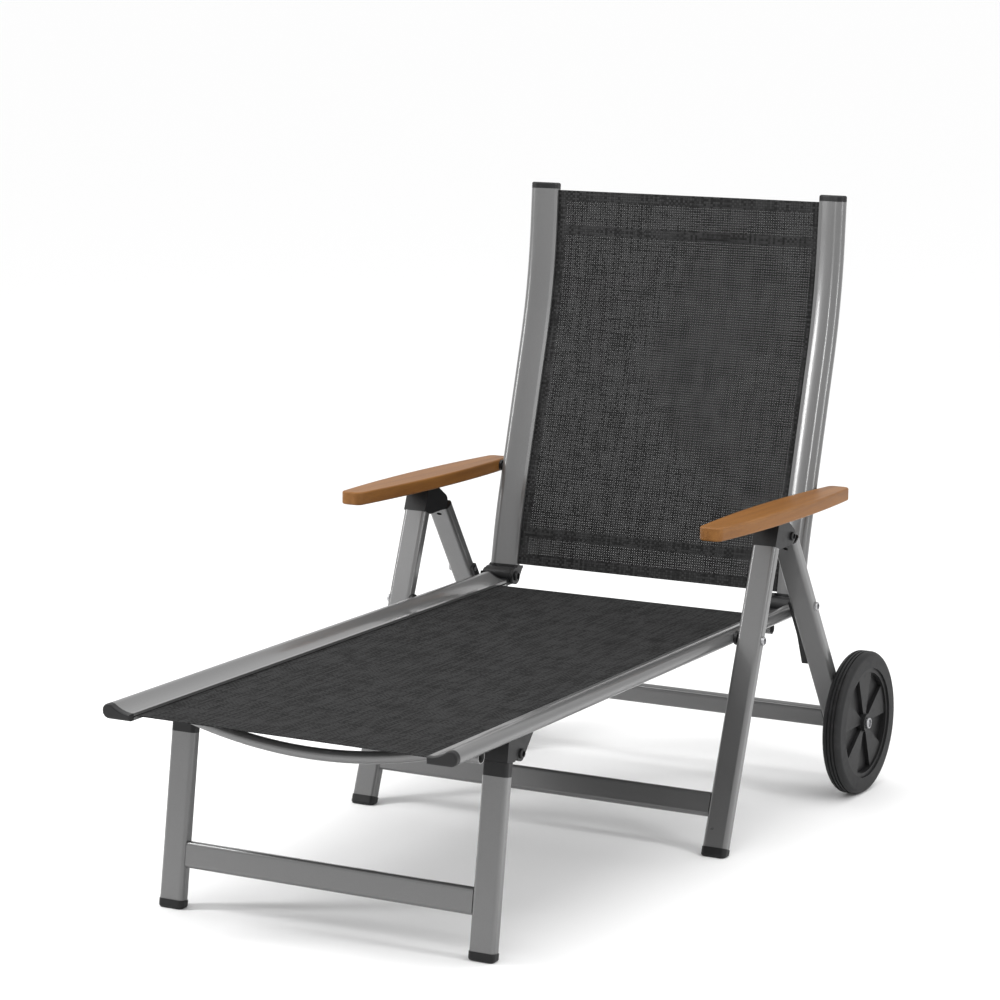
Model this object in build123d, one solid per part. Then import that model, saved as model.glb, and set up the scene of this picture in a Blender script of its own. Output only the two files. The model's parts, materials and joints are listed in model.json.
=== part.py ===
from build123d import *
import math
import os

# Reclining sun lounger with a sling seat, a sling backrest, folding legs, two wheels and wooden armrests.
# Millimetres. +Z is up, +Y points to the head end, x = 0 is the plane of symmetry and right is +X.
# Places along Y are stations counted from the front end of the seat rails. When the pieces are written
# they move together, so that the origin lies on the floor under the middle of the lounger.

# Sling rail: one aluminium extrusion, used for the seat and the backrest
SLING_WIDTH = 482.0
RAIL_WIDTH = 48.0
BEAD_RADIUS = 11.0
BEAD_WRAP = 125.0
LIP_HEIGHT = 10.3
LIP_FLAT = 6.0
RAIL_WALL = 2.0
KEDER_RADIUS = 2.6
KEDER_CLEARANCE = 0.4
SLING_THICKNESS = 1.0
SLOT_HEIGHT = 2.2
CAP_LENGTH = 10.0
CAP_ROUNDING = 3.0
PLUG_LENGTH = 18.0
PLUG_CLEARANCE = 0.2

# Seat
SEAT_LENGTH = 1077.0
SEAT_HEIGHT = 316.0
SEAT_SLING_START = 8.0
SEAT_SLING_END_GAP = 20.0
CROSS_TUBE_RADIUS = 9.0
CROSS_TUBE_WALL = 1.5
CROSS_TUBE_OVERLAP = 30.0
BOW_STATION = 88.0
BOW_DROP = 28.0
BOW_SHOULDER_RADIUS = 60.0
BOW_RUN = 26.0
REAR_TUBE_SETBACK = 47.0

# Hinge between the seat and the backrest
HINGE_BEHIND_RAIL = 21.0
HINGE_RISE = 4.0
BARREL_RADIUS = 14.0
BARREL_PLATE = 5.0
EAR_THICKNESS = 6.5
HINGE_BOLT_RADIUS = 5.0
JOURNAL_RADIUS = 10.0

# Backrest: the rail leaves the hinge, leans back, then bends up again towards the head
BACK_OFFSET = 10.7
BACK_START = 18.4
BACK_LEANS = (11.0, 16.7, 4.5)
BACK_RUNS = (40.0, 260.0, 63.0)
BACK_BEND_RADII = (800.0, 940.0)
BACK_CAP_PLATE = 5.0
BACK_SLING_GAP = 2.0
BACK_LOWER_TUBE = 58.0
BACK_UPPER_TUBE = 574.0

# Leg tubes: one rectangular section
LEG_WIDTH = 40.0
LEG_DEPTH = 20.0
LEG_CORNER = 6.0
LEG_WALL = 1.6
BAR_DEPTH = 15.0
FOOT_HEIGHT = 12.0
FOOT_LIP = 1.0
FOOT_ROUNDING = 4.0
LEG_PLUG = 24.0

# Front legs
FRONT_LANE_INSET = 2.0
FRONT_LEAN = 8.8
FRONT_FOOT_STATION = 113.8
FRONT_TUBE_TOP = 62.0
FRONT_SOCKET = 20.0
FRONT_BAR_HEIGHT = 79.0
FRONT_BAR_WIDTH = 39.0
FRONT_PIVOT_BEHIND = 28.0
FRONT_PIVOT_DROP = 24.0
FRONT_LOBE_RADIUS = 11.0
FRONT_LUG_WIDTH = 14.0
FRONT_WEDGE = 36.0
FRONT_PIN_RADIUS = 4.0
FRONT_SWING_ROOM = 4.0

# Middle legs
LANE_GAP = 5.5
MIDDLE_LEAN = 20.9
SEAT_PIVOT_BEFORE_HINGE = 242.0
SEAT_BOLT_RADIUS = 4.0
SPACER_RADIUS = 10.5
MIDDLE_TUBE_TOP = 38.0
MIDDLE_BAR_HEIGHT = 72.5
MIDDLE_BAR_WIDTH = 38.0

# Armrests
ARM_PIVOT_UP_RAIL = 166.0
ARM_TILT = 1.3
ARM_FRONT = 452.0
ARM_REAR = 37.0
ARM_THICKNESS = 21.0
ARM_HALF_WIDTH = 31.0
ARM_END_HALF_WIDTH = 18.0
ARM_CORNER = 12.0
ARM_TOP_ROUNDING = 3.0
ARM_BOTTOM_ROUNDING = 3.0
ARM_OFFSET = 1.0
ARM_BOLT_RADIUS = 4.0
ARM_SPACER_RADIUS = 9.0
ARM_BOLT_DEPTH = 24.0
GROOVE_WIDTH = 18.0
GROOVE_DEPTH = 12.0
GROOVE_BEHIND = 22.0
NOTCH_PITCH = 28.0
NOTCH_COUNT = 6
RACK_BACK = 5.0
TOOTH_FIRST = 8.5
TOOTH_FULL = 11.0
TOOTH_ROOT = 13.0
TOOTH_TIP = 6.0

# Arm bracket on top of the middle legs, with the tongue that the rack rests on
TONGUE_BEFORE_PIVOT = 206.0
TONGUE_RADIUS = 5.0
TONGUE_WIDTH = 12.0
SHOULDER_GAP = 1.0
REAR_PIVOT_BACK = 14.0
REAR_PIVOT_DROP = 27.5
REAR_LOBE_RADIUS = 13.5
REAR_LUG_WIDTH = 20.0
REAR_PIN_RADIUS = 4.0
BRACKET_TOP_LEAN = 30.0
BRACKET_LOW_LEAN = 200.0

# Rear legs
REAR_LEAN = 32.3
REAR_OFFSET = 13.0
REAR_TUBE_START = 20.0
REAR_COLLAR = 2.5
REAR_BAR_HEIGHT = 120.5
REAR_BAR_WIDTH = 40.0
REAR_TUBE_PAST_AXLE = 28.0
END_PLUG_PLATE = 3.0
SADDLE_GAP = 0.5
SADDLE_WALL = 5.0
SADDLE_STRAP_WIDTH = 12.0
SADDLE_MOUTH_LEAN = 25.0
SADDLE_ARM_RISE = 12.0
SADDLE_BOLT_HEIGHT = 14.0
SADDLE_BOLT_RADIUS = 4.0
SADDLE_TAIL_TOP = 30.0
SADDLE_TAIL_DROP = 94.0
SADDLE_TAIL_PROUD = 11.0
RIVET_SLOT_LENGTH = 9.0
RIVET_SLOT_WIDTH = 5.0
RIVET_SLOT_DISTANCE = 12.0

# Wheels
WHEEL_RADIUS = 117.5
WHEEL_WIDTH = 32.0
RIM_RADIUS = 90.0
RIM_WIDTH = 26.0
RIM_EDGE = 7.0
HUB_RADIUS = 15.0
WEB_THICKNESS = 6.0
SPOKE_SET_BACK = 3.0
POCKET_LIP = 1.0
SPOKE_COUNT = 5
WHEEL_GAP = 3.5
AXLE_RADIUS = 6.0
TYRE_SHOULDER = 9.0
TREAD_GROOVES = 3
TREAD_GROOVE_DEPTH = 2.0
TREAD_GROOVE_WIDTH = 2.4

# Fits shared by all the pieces
RUNNING_FIT = 0.05
CLEARANCE = 0.4
BOLT_HEAD_HEIGHT = 4.0
BOLT_HEAD_OVER = 3.0
BOLT_SOCKET_DEPTH = 2.5

# Section of the sling rail, in x across the lounger and w square to the sling
LIP_X = SLING_WIDTH / 2
RAIL_OUTER = LIP_X + RAIL_WIDTH
BEAD_X = RAIL_OUTER - BEAD_RADIUS
LIP_TOP = LIP_HEIGHT - BEAD_RADIUS
SLING_W = LIP_TOP - LIP_HEIGHT / 2
CHANNEL_RADIUS = KEDER_RADIUS + KEDER_CLEARANCE
CHANNEL_X = LIP_X + RAIL_WALL + CHANNEL_RADIUS
BORE_RADIUS = BEAD_RADIUS - RAIL_WALL
UNDERSIDE = SEAT_HEIGHT - BEAD_RADIUS

# Lanes across the lounger: rails, then the ears of the hinge, then the folding legs, then the wheels
LEG_LANE = RAIL_OUTER + LANE_GAP
LEG_MID = LEG_LANE + LEG_WIDTH / 2
LEG_OUTER = LEG_LANE + LEG_WIDTH
FRONT_LANE = LIP_X - FRONT_LANE_INSET
FRONT_MID = FRONT_LANE + LEG_WIDTH / 2
ARM_X = LEG_MID + ARM_OFFSET
BARREL_END = RAIL_OUTER - EAR_THICKNESS - CLEARANCE
WHEEL_INNER = LEG_OUTER + WHEEL_GAP


def direction(lean):
    """Unit vector in (station, height) that leans back from the vertical by this many degrees."""
    return Vector(math.sin(math.radians(lean)), math.cos(math.radians(lean)))


def square_to(unit):
    """Unit vector square to another one in (station, height), on its rear side."""
    return Vector(unit.Y, -unit.X)


# Points in (station, height)
HINGE = Vector(SEAT_LENGTH + HINGE_BEHIND_RAIL, SEAT_HEIGHT + HINGE_RISE)
SEAT_PIVOT = Vector(HINGE.X - SEAT_PIVOT_BEFORE_HINGE, SEAT_HEIGHT)


def back_curve():
    """Line of the bead of a back rail: three straight runs joined by two tangent bends."""
    low, mid, top = BACK_LEANS
    start = HINGE + direction(low) * BACK_START + square_to(direction(low)) * BACK_OFFSET
    first = Line(start, start + direction(low) * BACK_RUNS[0])
    bend_out = JernArc(first @ 1, direction(low), BACK_BEND_RADII[0], low - mid)
    second = Line(bend_out @ 1, (bend_out @ 1) + direction(mid) * BACK_RUNS[1])
    bend_in = JernArc(second @ 1, direction(mid), BACK_BEND_RADII[1], mid - top)
    third = Line(bend_in @ 1, (bend_in @ 1) + direction(top) * BACK_RUNS[2])
    return Wire([first, bend_out, second, bend_in, third])


BACK_LINE = back_curve()
BACK_LENGTH = BACK_LINE.length


def on_back(distance):
    """Point and direction of the back rail's line at a distance from its lower end."""
    point = BACK_LINE.position_at(distance, position_mode=PositionMode.LENGTH)
    along = BACK_LINE.tangent_at(distance, position_mode=PositionMode.LENGTH)
    return point, along


ARM_PIVOT = on_back(ARM_PIVOT_UP_RAIL)[0]
ARM_BACKWARD = direction(90 + ARM_TILT)
ARM_UP = square_to(ARM_BACKWARD) * -1
TONGUE = ARM_PIVOT - ARM_BACKWARD * TONGUE_BEFORE_PIVOT - ARM_UP * (ARM_THICKNESS / 2)
REAR_PIVOT = TONGUE + Vector(REAR_PIVOT_BACK, -REAR_PIVOT_DROP)

FRONT_UP = direction(FRONT_LEAN)
MIDDLE_UP = direction(MIDDLE_LEAN)
REAR_DOWN = direction(180 - REAR_LEAN)
REAR_LINE = REAR_PIVOT - square_to(REAR_DOWN) * REAR_OFFSET


def at_height(point, along, height):
    """Point at a height on the line through a point."""
    return point + along * ((height - point.Y) / along.Y)


FRONT_BASE = Vector(FRONT_FOOT_STATION, 0)
MIDDLE_BASE = at_height(SEAT_PIVOT, MIDDLE_UP, 0)
MIDDLE_TOP = at_height(SEAT_PIVOT, MIDDLE_UP, TONGUE.Y - MIDDLE_TUBE_TOP)
FRONT_TOP = at_height(FRONT_BASE, FRONT_UP, SEAT_HEIGHT - FRONT_TUBE_TOP)
FRONT_JOINT = FRONT_TOP + FRONT_UP * FRONT_SOCKET
FRONT_PIVOT = Vector(
    at_height(FRONT_BASE, FRONT_UP, UNDERSIDE - FRONT_PIVOT_DROP).X + FRONT_PIVOT_BEHIND,
    UNDERSIDE - FRONT_PIVOT_DROP,
)
AXLE = at_height(REAR_LINE, REAR_DOWN, WHEEL_RADIUS)
MIDDLE_OF_LENGTH = (AXLE.X + WHEEL_RADIUS - CAP_LENGTH) / 2

PIECES = {}


def keep(name, *solids):
    """Store a piece, or a group of like pieces, under its name."""
    PIECES[name] = Compound(children=list(solids)) if len(solids) > 1 else solids[0]


def keep_pair(name, right):
    """Store the right-hand piece and its mirror image on the left."""
    keep(name + "_right", right)
    keep(name + "_left", mirrored(right))


def keep_group(name, right):
    """Store the right-hand and left-hand pieces together in one group."""
    keep(name, right, mirrored(right))


def mirrored(shape):
    """Mirror image on the other side of the lounger."""
    return mirror(shape, about=Plane.YZ)


def single(shape):
    """The one solid of a boolean result."""
    return shape.solids()[0]


def slab(points, inner, outer):
    """Prism with a side outline of (station, height) points, between two x values."""
    outline = make_face(Polyline(*[(p.X, p.Y) for p in points], close=True))
    return extrude(Plane.YZ.offset(inner) * outline, outer - inner)


def disc(centre, radius, inner, outer):
    """Round bar across the lounger, between two x values."""
    return extrude(Plane.YZ.offset(inner) * Pos(centre.X, centre.Y) * Circle(radius), outer - inner)


def headed_bolt(centre, radius, head_end, tip):
    """Bolt across the lounger: a domed socket head that starts at head_end and a shank that ends at tip."""
    outwards = 1 if head_end > tip else -1
    head_out = head_end + outwards * BOLT_HEAD_HEIGHT
    head = disc(centre, radius + BOLT_HEAD_OVER, min(head_end, head_out), max(head_end, head_out))
    rim = head.faces().sort_by(Axis.X)[-1 if outwards > 0 else 0].edges()
    head = fillet(rim, BOLT_HEAD_HEIGHT / 2)
    hexagon = Pos(centre.X, centre.Y) * RegularPolygon(radius, 6, major_radius=False)
    head -= extrude(Plane.YZ.offset(head_out) * hexagon, -outwards * BOLT_SOCKET_DEPTH)
    return single(head + disc(centre, radius, min(tip, head_end), max(tip, head_end)))


def rail_outline():
    """Closed outline of the sling rail: a bead outside, a flat back and a thin lip towards the sling."""
    wrap = math.radians(BEAD_WRAP)
    heel = (BEAD_X, -BEAD_RADIUS)
    crest = (BEAD_X + BEAD_RADIUS * math.cos(wrap), BEAD_RADIUS * math.sin(wrap))
    hollow_end = (LIP_X + LIP_FLAT, LIP_TOP)
    back = Line((LIP_X, -BEAD_RADIUS), heel)
    bead = ThreePointArc(heel, (RAIL_OUTER, 0), crest)
    hollow = TangentArc(crest, hollow_end, tangent=(-math.sin(wrap), math.cos(wrap)))
    lip = Polyline(hollow_end, (LIP_X, LIP_TOP), (LIP_X, -BEAD_RADIUS))
    return make_face(Curve() + [back, bead, hollow, lip])


def rail_section():
    """Rail outline with its bead bore, its keder channel and the hollow of its web."""
    web_from = CHANNEL_X + CHANNEL_RADIUS + RAIL_WALL
    web_to = BEAD_X - BORE_RADIUS - RAIL_WALL
    slot_middle = (LIP_X + CHANNEL_X) / 2
    section = rail_outline()
    section -= Pos(BEAD_X, 0) * Circle(BORE_RADIUS)
    section -= Pos(CHANNEL_X, SLING_W) * Circle(CHANNEL_RADIUS)
    section -= Pos(slot_middle, SLING_W) * Rectangle(CHANNEL_X - LIP_X, SLOT_HEIGHT)
    web = Rectangle(web_to - web_from, LIP_HEIGHT - 2 * RAIL_WALL)
    section -= Pos((web_from + web_to) / 2, SLING_W) * web
    return section


def sling_strip():
    """Section of a sling between its two keder rods."""
    half = CHANNEL_X - KEDER_RADIUS - PLUG_CLEARANCE
    return Pos(0, SLING_W) * Rectangle(2 * half, SLING_THICKNESS)


def keder_section():
    """Section of a keder rod in its channel."""
    return Pos(CHANNEL_X, SLING_W) * Circle(KEDER_RADIUS)


def seat_plane(station):
    """Plane square to the seat rails that faces the foot end, with w upwards."""
    return Plane(origin=(0, station, SEAT_HEIGHT), x_dir=(1, 0, 0), z_dir=(0, -1, 0))


def back_plane(distance):
    """Plane square to the back rails that faces down the rail, with w to the front."""
    point, along = on_back(distance)
    return Plane(origin=(0, point.X, point.Y), x_dir=(1, 0, 0), z_dir=(0, -along.X, -along.Y))


def back_path():
    """The back rail's line as a path in space."""
    return Plane.YZ * BACK_LINE


def rail_cap(plane, outwards):
    """Black end cap of a rail, with a rounded face and a plug in the bead bore."""
    cap = extrude(plane * rail_outline(), outwards * CAP_LENGTH)
    face = cap.faces().sort_by(Axis(plane.origin, plane.z_dir * outwards))[-1]
    cap = fillet(face.edges(), CAP_ROUNDING)
    plug = extrude(plane * Pos(BEAD_X, 0) * Circle(BORE_RADIUS - PLUG_CLEARANCE), -outwards * PLUG_LENGTH)
    return single(cap + plug)


def cross_tube(centre):
    """Straight round tube across two rails."""
    reach = LIP_X + CROSS_TUBE_OVERLAP
    return single(
        disc(centre, CROSS_TUBE_RADIUS, -reach, reach)
        - disc(centre, CROSS_TUBE_RADIUS - CROSS_TUBE_WALL, -reach, reach)
    )


def bow_tube():
    """Front tube that dips under the sling: two end runs, two small bends and one long bend."""
    height = UNDERSIDE - CROSS_TUBE_RADIUS
    end = LIP_X + CROSS_TUBE_OVERLAP
    half_span = LIP_X - BOW_RUN
    bend = 2 * math.degrees(math.atan2(BOW_DROP, half_span))
    long_radius = half_span / math.sin(math.radians(bend)) - BOW_SHOULDER_RADIUS
    run_in = Line((-end, height), (-half_span, height))
    shoulder = JernArc(run_in @ 1, (1, 0), BOW_SHOULDER_RADIUS, -bend)
    belly = JernArc(shoulder @ 1, shoulder % 1, long_radius, 2 * bend)
    rise = JernArc(belly @ 1, belly % 1, BOW_SHOULDER_RADIUS, -bend)
    run_out = Line(rise @ 1, (end, height))
    across = Plane(origin=(0, BOW_STATION, 0), x_dir=(1, 0, 0), z_dir=(0, -1, 0))
    path = across * Wire([run_in, shoulder, belly, rise, run_out])
    ring = Circle(CROSS_TUBE_RADIUS) - Circle(CROSS_TUBE_RADIUS - CROSS_TUBE_WALL)
    mouth = Plane(origin=(-end, BOW_STATION, height), x_dir=(0, 1, 0), z_dir=(1, 0, 0))
    return single(sweep(mouth * ring, path=path))


def seat_frame():
    """Seat rails, end caps, cross tubes and the seat sling with its keder rods."""
    rail = extrude(seat_plane(SEAT_LENGTH) * rail_section(), SEAT_LENGTH)
    rail -= disc(SEAT_PIVOT, SEAT_BOLT_RADIUS + RUNNING_FIT, BEAD_X, RAIL_OUTER)
    keep_pair("seat_rail", single(rail))
    keep_pair("seat_foot_cap", rail_cap(seat_plane(0), 1))
    keep("seat_bow_tube", bow_tube())
    rear_tube = Vector(SEAT_LENGTH - REAR_TUBE_SETBACK, UNDERSIDE - CROSS_TUBE_RADIUS)
    keep("seat_rear_tube", cross_tube(rear_tube))
    sling_end = SEAT_LENGTH - SEAT_SLING_END_GAP
    sling_length = sling_end - SEAT_SLING_START
    keep("seat_sling", single(extrude(seat_plane(sling_end) * sling_strip(), sling_length)))
    keep_group("seat_keder_rods", single(extrude(seat_plane(sling_end) * keder_section(), sling_length)))


def hinge_barrels():
    """Black plug in the rear end of a seat rail, with the barrel that the hinge bolt turns in."""
    plate = extrude(seat_plane(SEAT_LENGTH) * rail_outline(), -BARREL_PLATE)
    plug = extrude(
        seat_plane(SEAT_LENGTH) * Pos(BEAD_X, 0) * Circle(BORE_RADIUS - PLUG_CLEARANCE), PLUG_LENGTH
    )
    web_low = max(UNDERSIDE, HINGE.Y - BARREL_RADIUS)
    web = slab(
        [
            Vector(SEAT_LENGTH, web_low),
            Vector(HINGE.X, web_low),
            Vector(HINGE.X, HINGE.Y),
            Vector(SEAT_LENGTH, SEAT_HEIGHT + LIP_TOP),
        ],
        LIP_X,
        BARREL_END,
    )
    barrel = disc(HINGE, BARREL_RADIUS, LIP_X, BARREL_END)
    bore = disc(HINGE, HINGE_BOLT_RADIUS + RUNNING_FIT, LIP_X, BARREL_END)
    ear_room = disc(HINGE, BARREL_RADIUS + CLEARANCE, BARREL_END, RAIL_OUTER)
    keep_pair("seat_hinge_barrel", single(plate + web + barrel - bore - ear_room + plug))


def hinge_ear(inner, outer):
    """Ear of the backrest on one end of the hinge barrel."""
    start, along = on_back(0)
    behind = square_to(along)
    neck = [
        start + behind * BEAD_RADIUS,
        start - behind * BEAD_RADIUS / 2,
        HINGE - behind * (BARREL_RADIUS - CLEARANCE),
        HINGE + behind * (BARREL_RADIUS - CLEARANCE),
    ]
    ear = slab(neck, inner, outer) + disc(HINGE, BARREL_RADIUS, inner, outer)
    return ear - disc(HINGE, HINGE_BOLT_RADIUS + RUNNING_FIT, inner, outer)


def hinge_caps():
    """Black cap on the lower end of a back rail with two ears, and the bolt through the hinge."""
    ear_inner = LIP_X - CLEARANCE - EAR_THICKNESS
    lower_end = back_plane(0)
    plate = extrude(lower_end * rail_outline(), BACK_CAP_PLATE)
    bridge_middle = Pos((ear_inner + CHANNEL_X) / 2, SLING_W)
    bridge_face = bridge_middle * Rectangle(CHANNEL_X - ear_inner, LIP_HEIGHT)
    bridge = extrude(lower_end * bridge_face, BACK_CAP_PLATE)
    plug = extrude(lower_end * Pos(BEAD_X, 0) * Circle(BORE_RADIUS - PLUG_CLEARANCE), -PLUG_LENGTH)
    barrel_room = disc(HINGE, BARREL_RADIUS + CLEARANCE, LIP_X - CLEARANCE, BARREL_END + CLEARANCE)
    cap = plate + bridge - barrel_room
    cap += hinge_ear(ear_inner, LIP_X - CLEARANCE)
    cap += hinge_ear(BARREL_END + CLEARANCE, RAIL_OUTER)
    keep_pair("back_hinge_cap", single(cap + plug))
    bolt = headed_bolt(HINGE, HINGE_BOLT_RADIUS, ear_inner, RAIL_OUTER)
    journal = disc(HINGE, JOURNAL_RADIUS, RAIL_OUTER, LEG_LANE - CLEARANCE)
    keep_group("back_hinge_bolts", single(bolt + journal))


def back_frame():
    """Back rails, top caps, cross tubes and the back sling with its keder rods."""
    rail = sweep(back_plane(0) * rail_section(), path=back_path())
    rail -= disc(ARM_PIVOT, ARM_BOLT_RADIUS + PLUG_CLEARANCE, BEAD_X, RAIL_OUTER)
    keep_pair("back_rail", single(rail))
    keep_pair("back_top_cap", rail_cap(back_plane(BACK_LENGTH), -1))
    tube_behind = BEAD_RADIUS + CROSS_TUBE_RADIUS
    for name, distance in (("back_lower_tube", BACK_LOWER_TUBE), ("back_upper_tube", BACK_UPPER_TUBE)):
        point, along = on_back(distance)
        keep(name, cross_tube(point + square_to(along) * tube_behind))
    keep("back_sling", trimmed(sweep(back_plane(0) * sling_strip(), path=back_path())))
    keep_group("back_keder_rods", trimmed(sweep(back_plane(0) * keder_section(), path=back_path())))


def trimmed(solid):
    """A swept sling piece, cut a little short of both ends of the rail."""
    solid = split(solid, bisect_by=back_plane(BACK_SLING_GAP), keep=Keep.BOTTOM)
    return single(split(solid, bisect_by=back_plane(BACK_LENGTH - BACK_SLING_GAP), keep=Keep.TOP))


def leg_plane(x, point, along):
    """Plane across a leg tube at a point, with its normal along the tube."""
    return Plane(origin=(x, point.X, point.Y), x_dir=(1, 0, 0), z_dir=(0, along.X, along.Y))


def leg_section(grow=0.0):
    """Outline of the leg tube, grown or shrunk all round."""
    return RectangleRounded(LEG_WIDTH + 2 * grow, LEG_DEPTH + 2 * grow, LEG_CORNER + grow)


def leg_tube(x, start, end):
    """Hollow leg tube between two points on its centre line."""
    plane = leg_plane(x, start, (end - start).normalized())
    section = leg_section() - leg_section(-LEG_WALL)
    return extrude(plane * section, (end - start).length)


def leg_plug(x, end, inwards, length=LEG_PLUG):
    """Stub that fills the mouth of a leg tube."""
    return extrude(leg_plane(x, end, inwards) * leg_section(-LEG_WALL - PLUG_CLEARANCE), length)


def leg_bar(point, along, width, reach):
    """Hollow cross bar between a pair of legs, turned to their slope."""
    plane = Plane(origin=(-reach, point.X, point.Y), x_dir=(0, along.X, along.Y), z_dir=(1, 0, 0))
    section = RectangleRounded(width, BAR_DEPTH, LEG_CORNER)
    section -= RectangleRounded(width - 2 * LEG_WALL, BAR_DEPTH - 2 * LEG_WALL, LEG_CORNER - LEG_WALL)
    return single(extrude(plane * section, 2 * reach))


def foot(x, base, along):
    """Black foot over the end of a leg tube, with a level sole on the floor."""
    tube_end = at_height(base, along, FOOT_HEIGHT)
    shoe = extrude(leg_plane(x, tube_end, along) * leg_section(FOOT_LIP), -2 * FOOT_HEIGHT)
    shoe = split(shoe, bisect_by=Plane.XY, keep=Keep.TOP)
    shoe = fillet(shoe.faces().sort_by(Axis.Z)[0].edges(), FOOT_ROUNDING)
    return single(shoe + leg_plug(x, tube_end, along))


def front_legs():
    """Front legs with their bar, feet, knuckles, brackets under the rails and pivot pins."""
    tube_end = at_height(FRONT_BASE, FRONT_UP, FOOT_HEIGHT)
    keep_pair("front_leg", single(leg_tube(FRONT_MID, tube_end, FRONT_TOP)))
    bar_point = at_height(FRONT_BASE, FRONT_UP, FRONT_BAR_HEIGHT)
    keep("front_leg_bar", leg_bar(bar_point, FRONT_UP, FRONT_BAR_WIDTH, FRONT_LANE))
    keep_group("front_feet", foot(FRONT_MID, FRONT_BASE, FRONT_UP))

    outer = FRONT_LANE + LEG_WIDTH
    lug_inner = FRONT_MID - FRONT_LUG_WIDTH / 2
    lug_outer = FRONT_MID + FRONT_LUG_WIDTH / 2
    behind = square_to(FRONT_UP)
    rear_top = FRONT_JOINT + behind * LEG_DEPTH / 2
    rear_low = FRONT_TOP + behind * LEG_DEPTH / 2
    to_leg = (rear_low - FRONT_PIVOT).normalized()
    lug = slab(
        [
            rear_low - behind * LEG_DEPTH / 2,
            rear_low,
            FRONT_PIVOT - square_to(to_leg) * FRONT_LOBE_RADIUS,
            FRONT_PIVOT + square_to(to_leg) * FRONT_LOBE_RADIUS,
            rear_top - FRONT_UP * CLEARANCE,
            rear_top - FRONT_UP * CLEARANCE - behind * LEG_DEPTH / 2,
        ],
        lug_inner,
        lug_outer,
    )
    lug += disc(FRONT_PIVOT, FRONT_LOBE_RADIUS, lug_inner, lug_outer)
    socket = extrude(leg_plane(FRONT_MID, FRONT_TOP, FRONT_UP) * leg_section(), FRONT_SOCKET)
    knuckle = socket + lug - disc(FRONT_PIVOT, FRONT_PIN_RADIUS + RUNNING_FIT, lug_inner, lug_outer)
    knuckle += leg_plug(FRONT_MID, FRONT_TOP, FRONT_UP * -1)
    keep_pair("front_knuckle", single(knuckle))

    joint = FRONT_JOINT + FRONT_UP * CLEARANCE
    front_low = joint - behind * LEG_DEPTH / 2
    back_low = joint + behind * LEG_DEPTH / 2
    front_high = at_height(front_low, FRONT_UP, UNDERSIDE)
    wedge_tip = Vector(FRONT_PIVOT.X + FRONT_WEDGE, UNDERSIDE)
    to_tip = (wedge_tip - FRONT_PIVOT).normalized()
    low_side = FRONT_PIVOT + square_to(to_tip) * FRONT_LOBE_RADIUS
    back_high = at_height(back_low, FRONT_UP, UNDERSIDE)
    block = slab([front_low, back_low, back_high, front_high], FRONT_LANE, outer)
    wedge = slab([front_high, back_low, FRONT_PIVOT, low_side, wedge_tip], FRONT_LANE, outer)
    lobe = disc(FRONT_PIVOT, FRONT_LOBE_RADIUS, FRONT_LANE, outer)
    room_radius = FRONT_LOBE_RADIUS + CLEARANCE
    room_inner = lug_inner - CLEARANCE
    room_outer = lug_outer + CLEARANCE
    lug_room = disc(FRONT_PIVOT, room_radius, room_inner, room_outer)
    room_top = FRONT_PIVOT.Y + room_radius
    room_low = FRONT_JOINT.Y - LEG_DEPTH
    room_rear = FRONT_PIVOT.X + room_radius + FRONT_SWING_ROOM
    swing_room = slab(
        [
            Vector(back_low.X, room_low),
            Vector(back_low.X, room_top),
            Vector(FRONT_PIVOT.X, room_top),
            Vector(room_rear, FRONT_PIVOT.Y + FRONT_SWING_ROOM),
            Vector(room_rear, room_low),
        ],
        room_inner,
        room_outer,
    )
    bracket = block + wedge + lobe - lug_room - swing_room
    bracket -= disc(FRONT_PIVOT, FRONT_PIN_RADIUS + RUNNING_FIT, FRONT_LANE, outer)
    keep_pair("front_leg_bracket", single(bracket))
    keep_group("front_pivot_pins", headed_bolt(FRONT_PIVOT, FRONT_PIN_RADIUS, outer, FRONT_LANE))


def middle_legs():
    """Middle legs with their bar and feet, and the bolts on which they turn under the seat rails."""
    tube_end = at_height(MIDDLE_BASE, MIDDLE_UP, FOOT_HEIGHT)
    hole = disc(SEAT_PIVOT, SEAT_BOLT_RADIUS + RUNNING_FIT, LEG_LANE, LEG_OUTER)
    keep_pair("middle_leg", single(leg_tube(LEG_MID, tube_end, MIDDLE_TOP) - hole))
    bar_point = at_height(MIDDLE_BASE, MIDDLE_UP, MIDDLE_BAR_HEIGHT)
    keep("middle_leg_bar", leg_bar(bar_point, MIDDLE_UP, MIDDLE_BAR_WIDTH, LEG_LANE))
    keep_group("middle_feet", foot(LEG_MID, MIDDLE_BASE, MIDDLE_UP))
    keep_group("seat_pivot_bolts", headed_bolt(SEAT_PIVOT, SEAT_BOLT_RADIUS, LEG_OUTER, BEAD_X))
    spacer = disc(SEAT_PIVOT, SPACER_RADIUS, RAIL_OUTER + CLEARANCE, LEG_LANE)
    spacer -= disc(SEAT_PIVOT, SEAT_BOLT_RADIUS, RAIL_OUTER, LEG_LANE)
    keep_group("seat_pivot_spacers", single(spacer))


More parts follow.
